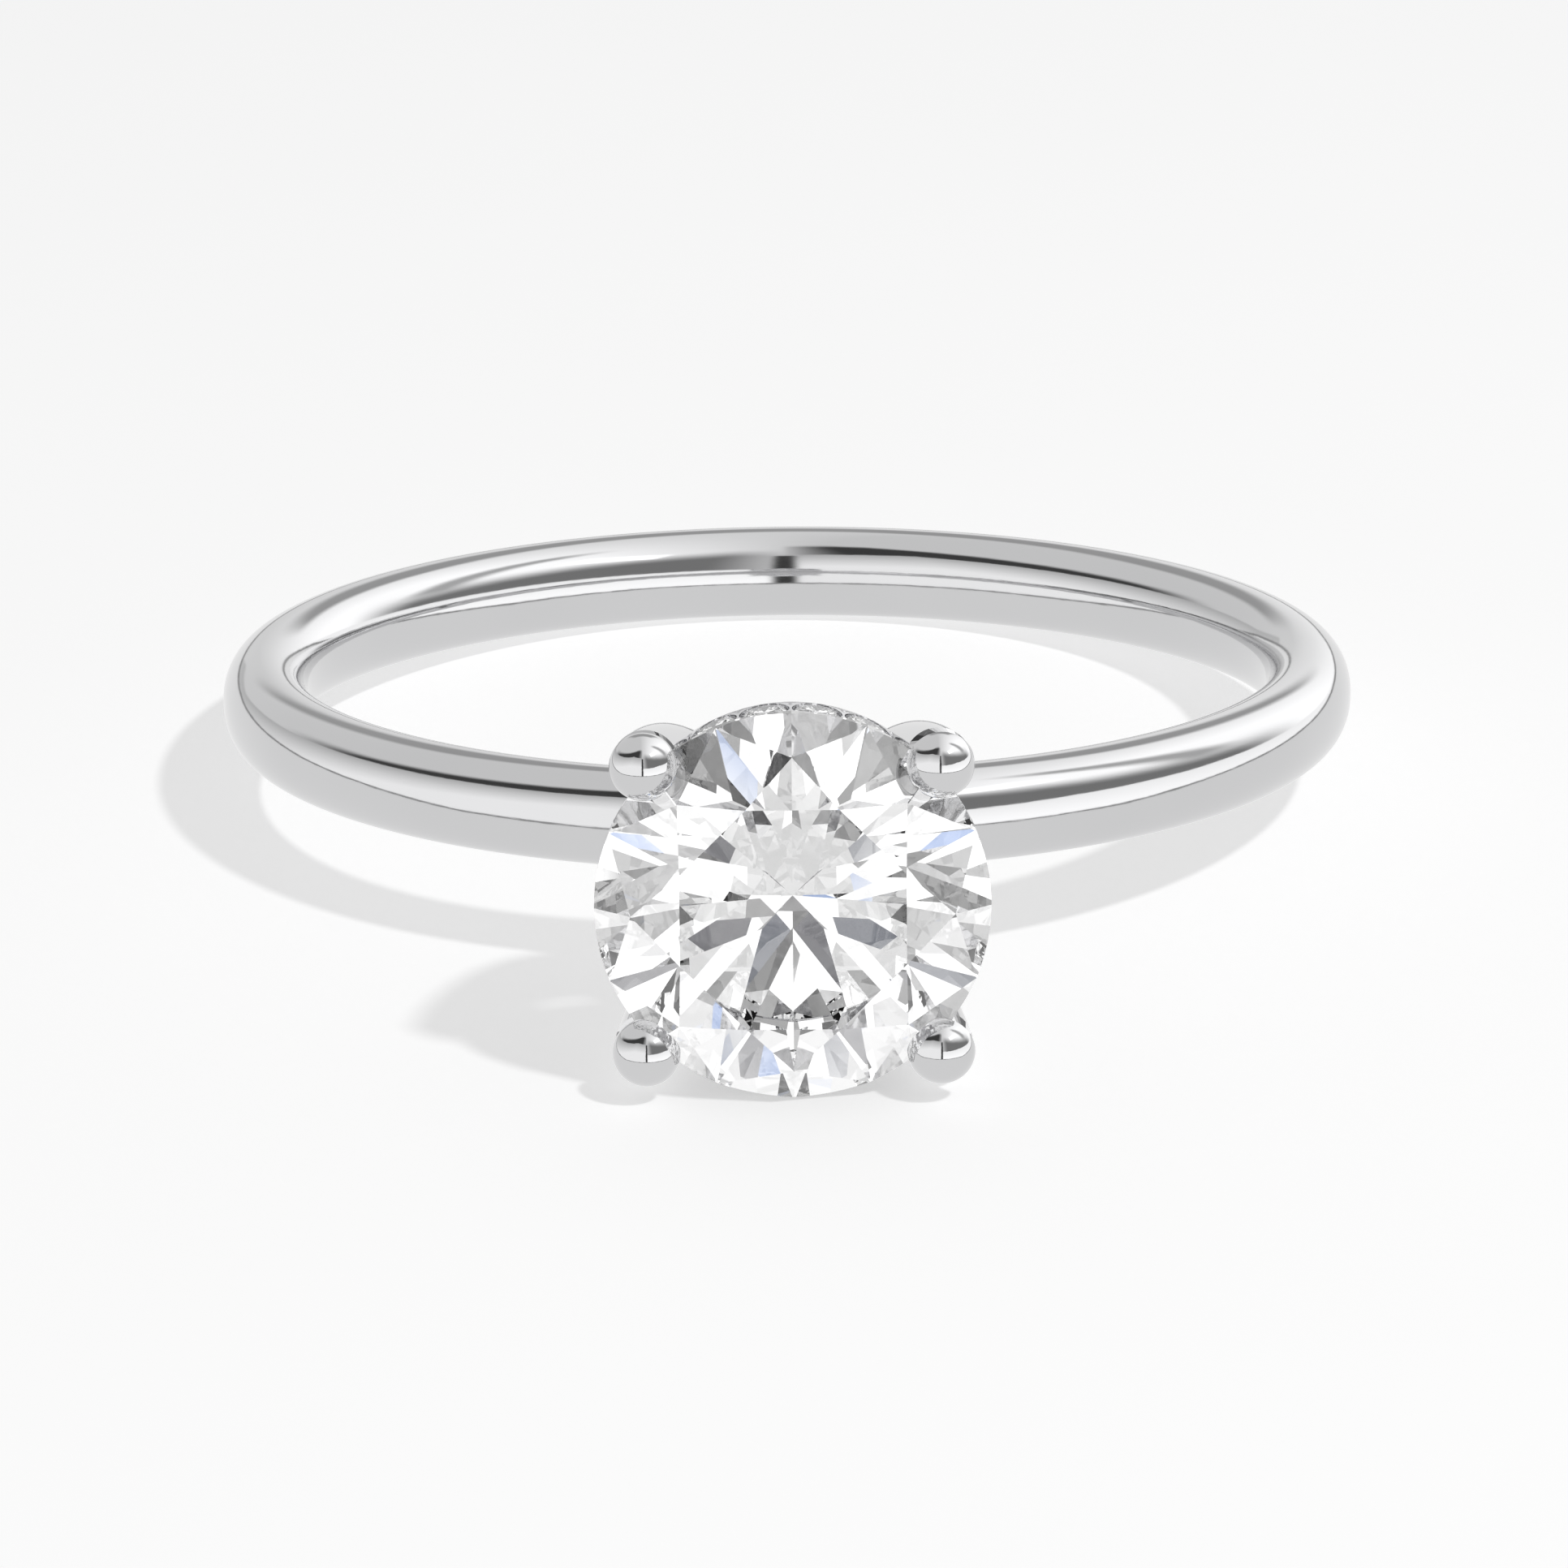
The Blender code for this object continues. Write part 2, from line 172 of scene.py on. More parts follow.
class RingClawSettings(bpy.types.PropertyGroup):
    tip_height: FloatProperty(
        name="Tip height", description="Half the height of a claw's domed tip", default=0.54 * MM,
        unit="LENGTH", precision=5,
    )
    shoulder_radius: FloatProperty(
        name="Shoulder radius", description="The claw's radius under its tip", default=0.56 * MM,
        unit="LENGTH", precision=5,
    )
    foot_radius: FloatProperty(
        name="Foot radius", description="The claw's radius at the base", default=0.36 * MM,
        unit="LENGTH", precision=5,
    )
    lean: FloatProperty(
        name="Lean", description="Lean of the claw's end from the stone's axis",
        default=math.radians(9), subtype="ANGLE",
    )
    seat_gap: FloatProperty(
        name="Seat gap", description="Between the stone and its seat", default=0.015 * MM,
        unit="LENGTH", precision=6,
    )
    colour: FloatVectorProperty(
        name="Colour", description="Rhodium plate's colour", default=linear("#D8D8D9"),
        subtype="COLOR", min=0, max=1,
    )


class RingHaloSettings(bpy.types.PropertyGroup):
    per_side: IntProperty(
        name="Stones a side", description="Halo stones between two claws", default=4, min=1
    )
    spacing: FloatProperty(
        name="Spacing", description="Between two halo stones", default=0.07 * MM, unit="LENGTH",
        precision=5,
    )
    rim: FloatProperty(
        name="Rim", description="Metal above and below the halo stones", default=0.07 * MM,
        unit="LENGTH", precision=5,
    )
    wall: FloatProperty(
        name="Collar wall", description="The collar's thickness", default=0.59 * MM, unit="LENGTH",
        precision=5,
    )
    grain_radius: FloatProperty(
        name="Grain radius", description="A raised grain that holds two stones", default=0.085 * MM,
        unit="LENGTH", precision=6,
    )
    colour: FloatVectorProperty(
        name="Colour", description="Rhodium plate's colour", default=linear("#D2D2D4"),
        subtype="COLOR", min=0, max=1,
    )


class RingStageSettings(bpy.types.PropertyGroup):
    floor_radius: FloatProperty(
        name="Floor radius", description="Half the floor's width", default=1.5, unit="LENGTH"
    )
    floor_colour: FloatVectorProperty(
        name="Floor colour", description="The sheet's colour", default=linear("#F4F4F4"),
        subtype="COLOR", min=0, max=1,
    )
    floor_glow: FloatProperty(
        name="Floor glow", description="Light that comes through the sheet from below", default=0.50
    )
    backdrop: FloatVectorProperty(
        name="Backdrop", description="Colour beyond the floor", default=linear("#FAFAFA"),
        subtype="COLOR", min=0, max=1,
    )
    key_power: FloatProperty(
        name="Key light", description="Power of the soft key light", default=0.46, unit="POWER"
    )


# Proportions that are the same for every size of ring

STAR_SHARE = 0.52  # how far the star facets reach from the table towards the girdle
LOWER_HALF_SHARE = 0.78  # how far the lower half facets reach from the girdle towards the culet
CLAW_COUNT = 4
FIRST_CLAW = math.pi / CLAW_COUNT
CLAW_NAMES = ("right_upper", "left_upper", "left_lower", "right_lower")
TIP_OUTSIDE = 0.17 * MM  # middle of the domed tip outside the girdle
TIP_ABOVE = 0.25 * MM  # middle of the domed tip above the girdle
FOOT_SPREAD = 0.65 * MM
FOOT_ABOVE = 0.72 * MM
FOOT_REACH = 0.42  # the claw line's lower handle, outwards, over its rise
FOOT_LIFT = 0.02  # the same handle, upwards
TIP_REACH = 0.62  # the upper handle, back along the claw, over its rise
BASE_RADIUS = 0.92 * MM
BASE_SINK = 0.35 * MM
BASE_CAP = 0.16 * MM
RAIL_RADIUS = 0.26 * MM
RAIL_BITE = 0.16 * MM
RAIL_PLACE = 0.34
COLLAR_INSET = 0.31 * MM
COLLAR_CHAMFER = 0.05 * MM
COLLAR_STONE_GAP = 0.12 * MM
HALO_CLAW_GAP = 0.07 * MM
HALO_SINK = 0.10 * MM
HALO_TABLE_SHARE = 0.62
JOINT_GAP = 0.015 * MM
SETTING_GAP = 0.015 * MM
GRAIN_HEIGHT_SHARE = 0.74  # a grain's height from the collar's middle, over a halo stone's radius
GRAIN_SUNK_SHARE = 0.85  # how much of a grain's radius lies in the collar

# Fineness

BAND_STEPS = 480
BAND_SIDES = 72
CLAW_STEPS = 24  # with 32, 36 or 40 the collar's cut comes out empty, and with 30 or fewer it doesn't
CLAW_SIDES = 48
DOME_STEPS = 14
HALO_GIRDLE_SIDES = 48
COLLAR_STEPS = 384
ROUND_STEPS = 4
RAIL_STEPS = 240
RAIL_SIDES = 32
BASE_STEPS = 128
SEAT_SIDES = 40
GRAIN_SIDES = 20
LINE_STEPS = 100  # the rail's place is looked up on a claw line this fine
ON_PLANE = 0.0002 * MM
SHORTEST_EDGE = 5 * ON_PLANE
SAME_PLACE = ON_PLANE / 10
CREASE = math.radians(32)


# Shapes


def add_copy(bm, piece, placed):
    """Adds a copy of the bmesh piece to bm, moved by the matrix placed."""
    mesh = bpy.data.meshes.new("copy")
    piece.to_mesh(mesh)
    mesh.transform(placed)
    bm.from_mesh(mesh)
    bpy.data.meshes.remove(mesh)


def spun(profile, steps, closed=True):
    """A profile of (radius, height) points spun once round Z. An open one runs from axis to axis."""
    bm = bmesh.new()
    corners = [bm.verts.new((radius, 0, height)) for radius, height in profile]
    pairs = list(zip(corners, corners[1:]))
    if closed:
        pairs.append((corners[-1], corners[0]))
    edges = [bm.edges.new(pair) for pair in pairs]
    bmesh.ops.spin(
        bm, geom=edges, cent=(0, 0, 0), axis=(0, 0, 1), angle=math.tau, steps=steps, use_merge=True
    )
    bmesh.ops.remove_doubles(bm, verts=bm.verts, dist=ON_PLANE)
    bmesh.ops.recalc_face_normals(bm, faces=bm.faces)
    return bm


def band_section(grow=0.0):
    """The section's superellipse as (radius, height) points."""
    size = bpy.context.scene.ring_band
    power = 2 / size.fullness
    middle = (size.outer_diameter - size.wall) / 2

    def bulge(share, half):
        return math.copysign(abs(share) ** power, share) * (half + grow)

    turns = [math.tau * step / BAND_SIDES for step in range(BAND_SIDES)]
    return [
        (middle + bulge(math.cos(turn), size.wall / 2), bulge(math.sin(turn), size.width / 2))
        for turn in turns
    ]


def facet_planes(radius, girdle_half, table_share):
    """The planes of a full brilliant as (point, normal) pairs, with a main facet towards +X."""
    cut = bpy.context.scene.ring_stone
    eighth = math.tau / 8
    crown, pavilion = cut.crown_angle, cut.pavilion_angle
    crown_top = girdle_half + radius * (1 - table_share) * math.tan(crown)
    culet = -girdle_half - radius * math.tan(pavilion)
    table_radius = radius * table_share

    def at(reach, turn, height):
        return Vector((reach * math.cos(turn), reach * math.sin(turn), height))

    def plane(a, b, c):
        normal = (b - a).cross(c - a).normalized()
        return a, normal if normal.dot(a) > 0 else -normal

    star_reach = table_radius + STAR_SHARE * (radius - table_radius)
    star_height = girdle_half + (radius - star_reach * math.cos(eighth / 2)) * math.tan(crown)
    half_reach = radius * (1 - LOWER_HALF_SHARE)
    half_height = culet + half_reach * math.cos(eighth / 2) * math.tan(pavilion)
    planes = [(Vector((0, 0, crown_top)), Vector((0, 0, 1)))]
    for step in range(8):
        main = step * eighth
        between = main + eighth / 2
        planes.append((at(radius, main, girdle_half), at(math.sin(crown), main, math.cos(crown))))
        planes.append(
            (at(radius, main, -girdle_half), at(math.sin(pavilion), main, -math.cos(pavilion)))
        )
        star_tip = at(star_reach, between, star_height)
        table_corners = at(table_radius, main, crown_top), at(table_radius, main + eighth, crown_top)
        planes.append(plane(star_tip, *table_corners))
        for near in (main, main + eighth):
            upper = at(radius, near, girdle_half), at(radius, between, girdle_half)
            lower = at(radius, near, -girdle_half), at(radius, between, -girdle_half)
            planes.append(plane(star_tip, *upper))
            planes.append(plane(at(half_reach, between, half_height), *lower))
    return planes


def ground_stone(radius, girdle_half, table_share, sides, grow=0.0):
    """A brilliant ground from a round blank, one facet plane at a time. grow moves faces outwards."""
    blank = 2 * (radius + grow)
    bm = bmesh.new()
    bmesh.ops.create_cone(
        bm, cap_ends=True, segments=sides, radius1=radius + grow, radius2=radius + grow, depth=2 * blank
    )
    for point, normal in facet_planes(radius, girdle_half, table_share):
        bmesh.ops.bisect_plane(
            bm, geom=bm.verts[:] + bm.edges[:] + bm.faces[:], dist=ON_PLANE,
            plane_co=point + normal * grow, plane_no=normal, clear_outer=True,
        )
        rim = [edge for edge in bm.edges if edge.is_boundary]
        if rim:
            bmesh.ops.contextual_create(bm, geom=rim)
    bmesh.ops.remove_doubles(bm, verts=bm.verts, dist=SHORTEST_EDGE)
    bmesh.ops.dissolve_degenerate(bm, edges=bm.edges, dist=SHORTEST_EDGE)
    bmesh.ops.recalc_face_normals(bm, faces=bm.faces)
    return bm


def girdle_height():
    """The middle of the girdle above the middle of the finger hole."""
    cut = bpy.context.scene.ring_stone
    crown = cut.diameter / 2 * (1 - cut.table_share) * math.tan(cut.crown_angle)
    return table_height() - cut.girdle_half - crown


def centre_stone_shape(grow=0.0):
    """The centre stone in the head frame, with a table edge square to each side of the ring."""
    cut = bpy.context.scene.ring_stone
    bm = ground_stone(cut.diameter / 2, cut.girdle_half, cut.table_share, cut.girdle_sides, grow)
    placed = Matrix.Translation((0, 0, girdle_height())) @ Matrix.Rotation(math.tau / 16, 4, "Z")
    bmesh.ops.transform(bm, matrix=placed, verts=bm.verts)
    return bm


def claw_line(count):
    """Points along the middle of a claw from foot to tip, in the head frame's XZ plane."""
    scene = bpy.context.scene
    tip = Vector((scene.ring_stone.diameter / 2 + TIP_OUTSIDE, 0, girdle_height() + TIP_ABOVE))
    foot = Vector((FOOT_SPREAD, 0, scene.ring_band.outer_diameter / 2 + FOOT_ABOVE))
    rise = tip.z - foot.z
    lean = scene.ring_claws.lean
    down = Vector((-math.sin(lean), 0, -math.cos(lean)))
    foot_handle = foot + Vector((FOOT_REACH * rise, 0, FOOT_LIFT * rise))
    return interpolate_bezier(foot, foot_handle, tip + down * (TIP_REACH * rise), tip, count)


def claw_radius(share):
    """The wire's radius, from foot 0 to shoulder 1."""
    size = bpy.context.scene.ring_claws
    return size.foot_radius + (size.shoulder_radius - size.foot_radius) * math.sin(share * math.pi / 2)


def claw_frames(grow):
    """Where each ring of a claw's skin stands, as matrices that carry a unit circle there."""
    line = claw_line(CLAW_STEPS + 1)
    frames = []
    for index, point in enumerate(line):
        before, after = line[max(index - 1, 0)], line[min(index + 1, CLAW_STEPS)]
        heading = (after - before).to_track_quat("Z", "Y").to_matrix().to_4x4()
        reach = claw_radius(index / CLAW_STEPS) + grow
        frames.append(Matrix.Translation(point) @ heading @ Matrix.Scale(reach, 4))
    height = bpy.context.scene.ring_claws.tip_height + grow
    for step in range(1, DOME_STEPS + 1):
        rise = math.pi / 2 * step / DOME_STEPS
        lift = Matrix.Translation((0, 0, height * math.sin(rise)))
        narrow = Matrix.Scale(max(reach * math.cos(rise), SAME_PLACE), 4)
        frames.append(Matrix.Translation(point) @ heading @ lift @ narrow)
    return frames


def claw_shape(grow=0.0):
    """One claw in the head frame, over +X: a tapering wire with a domed end."""
    frames = claw_frames(grow)
    bm = bmesh.new()
    bmesh.ops.create_circle(bm, segments=CLAW_SIDES, radius=1.0, cap_ends=True)
    bmesh.ops.transform(bm, matrix=frames[0], verts=bm.verts)
    skin = bm.edges[:]
    for before, after in zip(frames, frames[1:]):
        grown = bmesh.ops.extrude_edge_only(bm, edges=skin)["geom"]
        rim = [item for item in grown if isinstance(item, bmesh.types.BMVert)]
        skin = [edge for edge in grown if isinstance(edge, bmesh.types.BMEdge) and edge.is_boundary]
        bmesh.ops.transform(bm, matrix=after @ before.inverted(), verts=rim)
    bmesh.ops.remove_doubles(bm, verts=bm.verts, dist=ON_PLANE)
    bmesh.ops.recalc_face_normals(bm, faces=bm.faces)
    return bm


def round_the_head(piece):
    """Copies of a piece at every claw's place, in one bmesh."""
    bm = bmesh.new()
    for index in range(CLAW_COUNT):
        turn = FIRST_CLAW + index * math.tau / CLAW_COUNT
        add_copy(bm, piece, Matrix.Rotation(turn, 4, "Z"))
    piece.free()
    return bm


def rail_shape():
    """The gallery rail, a round wire against the inner side of every claw."""
    line = claw_line(LINE_STEPS + 1)
    index = round(RAIL_PLACE * LINE_STEPS)
    along = (line[index + 1] - line[index - 1]).normalized()
    inwards = Vector((-along.z, 0, along.x))
    middle = line[index] + inwards * (claw_radius(RAIL_PLACE) + RAIL_RADIUS - RAIL_BITE)
    turns = [math.tau * step / RAIL_SIDES for step in range(RAIL_SIDES)]
    profile = [
        (middle.x + RAIL_RADIUS * math.cos(turn), middle.z + RAIL_RADIUS * math.sin(turn))
        for turn in turns
    ]
    return spun(profile, RAIL_STEPS)


def rounded(corners, radii):
    """A closed profile with each corner rounded to its own radius, which may be none."""
    profile = []
    for index, (corner, radius) in enumerate(zip(corners, radii)):
        here = Vector(corner)
        if not radius:
            profile.append(tuple(here))
            continue
        back = (Vector(corners[index - 1]) - here).normalized() * radius
        ahead = (Vector(corners[(index + 1) % len(corners)]) - here).normalized() * radius
        for step in range(ROUND_STEPS + 1):
            share = step / ROUND_STEPS
            profile.append(tuple(here + back * (1 - share) ** 2 + ahead * share**2))
    return profile


def base_shape():
    """The base drum with a small waist, before the band and the claws are cut out of it."""
    outer = bpy.context.scene.ring_band.outer_diameter / 2
    low = outer - BASE_SINK
    top = outer + FOOT_ABOVE + bpy.context.scene.ring_claws.foot_radius + BASE_CAP
    waist = BASE_RADIUS - BASE_CAP / 2
    corners = [(BASE_RADIUS, low), (waist, (low + top) / 2), (BASE_RADIUS, top), (0, top), (0, low)]
    profile = rounded(corners, (0, 2 * BASE_CAP, BASE_CAP, 0, 0))
    return spun([profile[-1], *profile[:-1]], BASE_STEPS, closed=False)


def collar_outer():
    return bpy.context.scene.ring_stone.diameter / 2 - COLLAR_INSET


def halo_pitch():
    """The angle from one halo stone to the next, which fills the space between two claws."""
    scene = bpy.context.scene
    room = scene.ring_claws.shoulder_radius + HALO_CLAW_GAP
    half_claw = math.asin(room / (scene.ring_stone.diameter / 2 + TIP_OUTSIDE))
    return (math.tau / CLAW_COUNT - 2 * half_claw) / scene.ring_halo.per_side


def halo_radius():
    """The radius of a halo stone: as large as its pitch leaves room for."""
    return collar_outer() * math.sin(halo_pitch() / 2) - bpy.context.scene.ring_halo.spacing / 2


def collar_top():
    """The collar's upper rim, just under the centre stone's pavilion."""
    scene = bpy.context.scene
    cut = scene.ring_stone
    inner = collar_outer() - scene.ring_halo.wall
    drop = (cut.diameter / 2 - inner) * math.tan(cut.pavilion_angle)
    gap = COLLAR_STONE_GAP / math.cos(cut.pavilion_angle)
    return girdle_height() - cut.girdle_half - drop - gap


def collar_height():
    return 2 * (halo_radius() + bpy.context.scene.ring_halo.rim)


def collar_shape():
    outer, top = collar_outer(), collar_top()
    inner = outer - bpy.context.scene.ring_halo.wall
    low = top - collar_height()
    corners = [(inner, low), (outer, low), (outer, top), (inner, top)]
    edge = COLLAR_CHAMFER
    return spun(rounded(corners, (edge / 2, edge, edge, edge / 2)), COLLAR_STEPS)


def round_the_collar(turn, height, reach):
    """A place on the collar's outer face whose own Z points straight out."""
    outwards = Matrix.Rotation(turn, 4, "Z") @ Matrix.Rotation(math.pi / 2, 4, "Y")
    return Matrix.Translation((0, 0, height)) @ outwards @ Matrix.Translation((0, 0, reach))


def halo_places():
    """Where each halo stone sits."""
    per_side = bpy.context.scene.ring_halo.per_side
    middle = collar_top() - collar_height() / 2
    places = []
    for side in range(CLAW_COUNT):
        for index in range(per_side):
            turn = side * math.tau / CLAW_COUNT + (index - (per_side - 1) / 2) * halo_pitch()
            places.append(round_the_collar(turn, middle, collar_outer() - HALO_SINK))
    return places


def halo_girdle_half():
    cut = bpy.context.scene.ring_stone
    return halo_radius() * cut.girdle_half * 2 / cut.diameter


def halo_seat_shape():
    """The space that one halo stone needs: its point, its girdle and the way out of the collar."""
    scene = bpy.context.scene
    reach = (halo_radius() + SETTING_GAP) / math.cos(math.pi / SEAT_SIDES)
    girdle_half = halo_girdle_half() + SETTING_GAP
    depth = girdle_half + reach * math.tan(scene.ring_stone.pavilion_angle)
    out = scene.ring_halo.wall / 2
    return spun([(0, -depth), (reach, -girdle_half), (reach, out), (0, out)], SEAT_SIDES, closed=False)


def grains_shape():
    """The grains raised between the halo stones, in pairs above and below the collar's middle."""
    halo = bpy.context.scene.ring_halo
    middle = collar_top() - collar_height() / 2
    grain = bmesh.new()
    bmesh.ops.create_uvsphere(
        grain, u_segments=GRAIN_SIDES, v_segments=GRAIN_SIDES // 2, radius=halo.grain_radius
    )
    bm = bmesh.new()
    reach = collar_outer() - GRAIN_SUNK_SHARE * halo.grain_radius
    for side in range(CLAW_COUNT):
        for index in range(halo.per_side + 1):
            turn = side * math.tau / CLAW_COUNT + (index - halo.per_side / 2) * halo_pitch()
            for way in (-1, 1):
                height = middle + way * GRAIN_HEIGHT_SHARE * halo_radius()
                add_copy(bm, grain, round_the_collar(turn, height, reach))
    grain.free()
    return bm


# Making pieces


def mesh_of(name, bm):
    mesh = bpy.data.meshes.new(name)
    bm.to_mesh(mesh)
    bm.free()
    return mesh


def less(bm, *rooms):
    """The shape bm with the space of every room taken out of it."""
    scene = bpy.context.scene
    target = bpy.data.objects.new("target", mesh_of("target", bm))
    cutters = [bpy.data.objects.new("room", mesh_of("room", room)) for room in rooms]
    for made in (target, *cutters):
        scene.collection.objects.link(made)
    for cutter in cutters:
        boolean = target.modifiers.new("cut", "BOOLEAN")
        boolean.operation = "DIFFERENCE"
        boolean.solver = "EXACT"
        boolean.object = cutter
    shown = target.evaluated_get(bpy.context.evaluated_depsgraph_get())
    result = bmesh.new()
    result.from_mesh(shown.data)
    for made in (target, *cutters):
        mesh = made.data
        bpy.data.objects.remove(made)
        bpy.data.meshes.remove(mesh)
    bmesh.ops.remove_doubles(result, verts=result.verts, dist=SAME_PLACE)
    bmesh.ops.recalc_face_normals(result, faces=result.faces)
    return result


def add_piece(name, bm, placed, finish, nodes, crease=CREASE):
    """An object made from bm, with its place in its mesh, which stands for the CAD nodes."""
    bmesh.ops.transform(bm, matrix=placed, verts=bm.verts)
    if not bm.faces:
        raise RuntimeError(f"{name} is empty: nothing was left after its cuts")
    if any(edge.is_boundary for edge in bm.edges):
        raise RuntimeError(f"{name} is open: an edge has only one face")
    mesh = mesh_of(name, bm)
    if crease is None:
        mesh.shade_flat()
    else:
        mesh.shade_smooth()
        mesh.set_sharp_from_angle(angle=crease)
    mesh.materials.append(finish)
    piece = bpy.data.objects.new(name, mesh)
    bpy.context.scene.collection.objects.link(piece)
    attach(piece, BODY)
    if nodes:
        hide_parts(*nodes)
    return piece


# Finishes


def put(tree, kind, inputs=None, **settings):
    """Adds a node with its settings. inputs maps a socket to a value or to another node's output."""
    made = tree.nodes.new(kind)
    for name, value in settings.items():
        setattr(made, name, value)
    for socket, value in (inputs or {}).items():
        if isinstance(value, bpy.types.NodeSocket):
            tree.links.new(value, made.inputs[socket])
        else:
            made.inputs[socket].default_value = value
    return made


def new_finish(name):
    """A material and its tree, with the shader that new materials have."""
    made = bpy.data.materials.new(name)
    made.use_nodes = True
    return made, made.node_tree, made.node_tree.nodes["Principled BSDF"]


SWIRL_PER_METRE = 9000.0  # polishing lines about 0.1 mm apart, coarser than real ones so that they show
WAVE_PER_METRE = 420.0  # slow waves about 2.4 mm long that casting and hand polishing leave
POLISH_DEPTH = 0.0006 * MM
WAVE_DEPTH = 0.004 * MM
GOLD_SHADE = 0.955  # how dark the plate's colour gets in its waves
GLOSS_SPREAD = 0.3  # how far the roughness strays, either way
# Each part's roughness, and how far its polishing lines are drawn out along each axis
BAND_POLISH = (0.07, (0.12, 0.12, 1))
CLAW_POLISH = (0.035, (1, 1, 0.2))
HEAD_POLISH = (0.06, (0.2, 0.2, 1))


def polished_white_gold(name, colour, polish, placed):
    """White gold, cast, polished and rhodium plated.

    It gives near-mirror reflections a little darker than what they show, edges of light that waver
    slightly, and faint lines from the polishing wheel that run the way the polish says.
    """
    roughness, stretch = polish
    made, tree, shader = new_finish(name)
    shader.inputs["Metallic"].default_value = 1.0
    own = put(tree, "ShaderNodeTexCoord").outputs["Object"]
    turned = placed.to_3x3().transposed().to_euler()
    laid = put(tree, "ShaderNodeMapping", {"Vector": own, "Rotation": turned}).outputs[0]
    drawn = put(tree, "ShaderNodeMapping", {"Vector": laid, "Scale": stretch}).outputs[0]
    lines = put(
        tree, "ShaderNodeTexNoise",
        {"Vector": drawn, "Scale": SWIRL_PER_METRE, "Detail": 3.0, "Roughness": 0.6},
    )
    waves = put(
        tree, "ShaderNodeTexNoise", {"Vector": laid, "Scale": WAVE_PER_METRE, "Detail": 1.0}
    )
    tint = put(
        tree, "ShaderNodeMix",
        {"Factor": waves.outputs["Fac"], 6: (*colour, 1), 7: (*(GOLD_SHADE * c for c in colour), 1)},
        data_type="RGBA",
    )
    tree.links.new(tint.outputs[2], shader.inputs["Base Color"])
    gloss = put(
        tree, "ShaderNodeMapRange",
        {
            "Value": lines.outputs["Fac"], "To Min": roughness * (1 - GLOSS_SPREAD),
            "To Max": roughness * (1 + GLOSS_SPREAD),
        },
    )
    tree.links.new(gloss.outputs[0], shader.inputs["Roughness"])
    slow = put(
        tree, "ShaderNodeBump", {"Height": waves.outputs["Fac"], "Strength": 1.0, "Distance": WAVE_DEPTH}
    )
    fine = put(
        tree, "ShaderNodeBump",
        {
            "Height": lines.outputs["Fac"], "Strength": 1.0, "Distance": POLISH_DEPTH,
            "Normal": slow.outputs[0],
        },
    )
    tree.links.new(fine.outputs[0], shader.inputs["Normal"])
    return made


DIAMOND_IOR = 2.417
ZONES_PER_METRE = 900.0  # growth zones about 1 mm wide, far fainter than the eye can pick out
ZONE_SHADE = 0.99


def polished_diamond(name, colour):
    """Colourless diamond with polished facets.

    The high index turns most light back through the table, so facets read as hard-edged white, grey
    and black shapes. Faint growth zones keep its white from being perfectly even.
    """
    made, tree, shader = new_finish(name)
    shader.inputs["IOR"].default_value = DIAMOND_IOR
    shader.inputs["Transmission Weight"].default_value = 1.0
    shader.inputs["Roughness"].default_value = 0.0
    own = put(tree, "ShaderNodeTexCoord").outputs["Object"]
    zones = put(tree, "ShaderNodeTexNoise", {"Vector": own, "Scale": ZONES_PER_METRE})
    tint = put(
        tree, "ShaderNodeMix",
        {"Factor": zones.outputs["Fac"], 6: (*colour, 1), 7: (*(ZONE_SHADE * c for c in colour), 1)},
        data_type="RGBA",
    )
    tree.links.new(tint.outputs[2], shader.inputs["Base Color"])
    return made


CLOUDS_PER_METRE = 60.0  # cloudy patches about 17 mm wide
CLOUD_SHADE = 0.97


def opal_sheet(colour, glow):
    """A matt opal acrylic sheet, lit a little from below, so that shadows on it stay pale.

    It is matt and almost perfectly even, with a barely cloudy tone.
    """
    made, tree, shader = new_finish("floor_matt_opal_acrylic")
    shader.inputs["Roughness"].default_value = 0.95
    shader.inputs["Specular IOR Level"].default_value = 0.0
    shader.inputs["Emission Color"].default_value = (1, 1, 1, 1)
    shader.inputs["Emission Strength"].default_value = glow
    own = put(tree, "ShaderNodeTexCoord").outputs["Object"]
    cloud = put(tree, "ShaderNodeTexNoise", {"Vector": own, "Scale": CLOUDS_PER_METRE, "Detail": 4.0})
    tint = put(
        tree, "ShaderNodeMix",
        {"Factor": cloud.outputs["Fac"], 6: (*colour, 1), 7: (*(CLOUD_SHADE * c for c in colour), 1)},
        data_type="RGBA",
    )
    tree.links.new(tint.outputs[2], shader.inputs["Base Color"])
    return made


# Studio

FLOOR_STEPS = 128
CAMERA_PLACE = Vector((-0.637, -140.386, 49.785)) * MM  # from the middle of the finger hole
CAMERA_AIM = Vector((-0.07, -0.588, -1.628)) * MM
CAMERA_ROLL = math.radians(-0.456)
CAMERA_LENS = 189.0
CAMERA_SENSOR = 36.0
KEY_FROM = Vector((0.57, -0.54, 1.0))
KEY_DISTANCE = 0.40
KEY_SIZE = (0.034, 0.026)

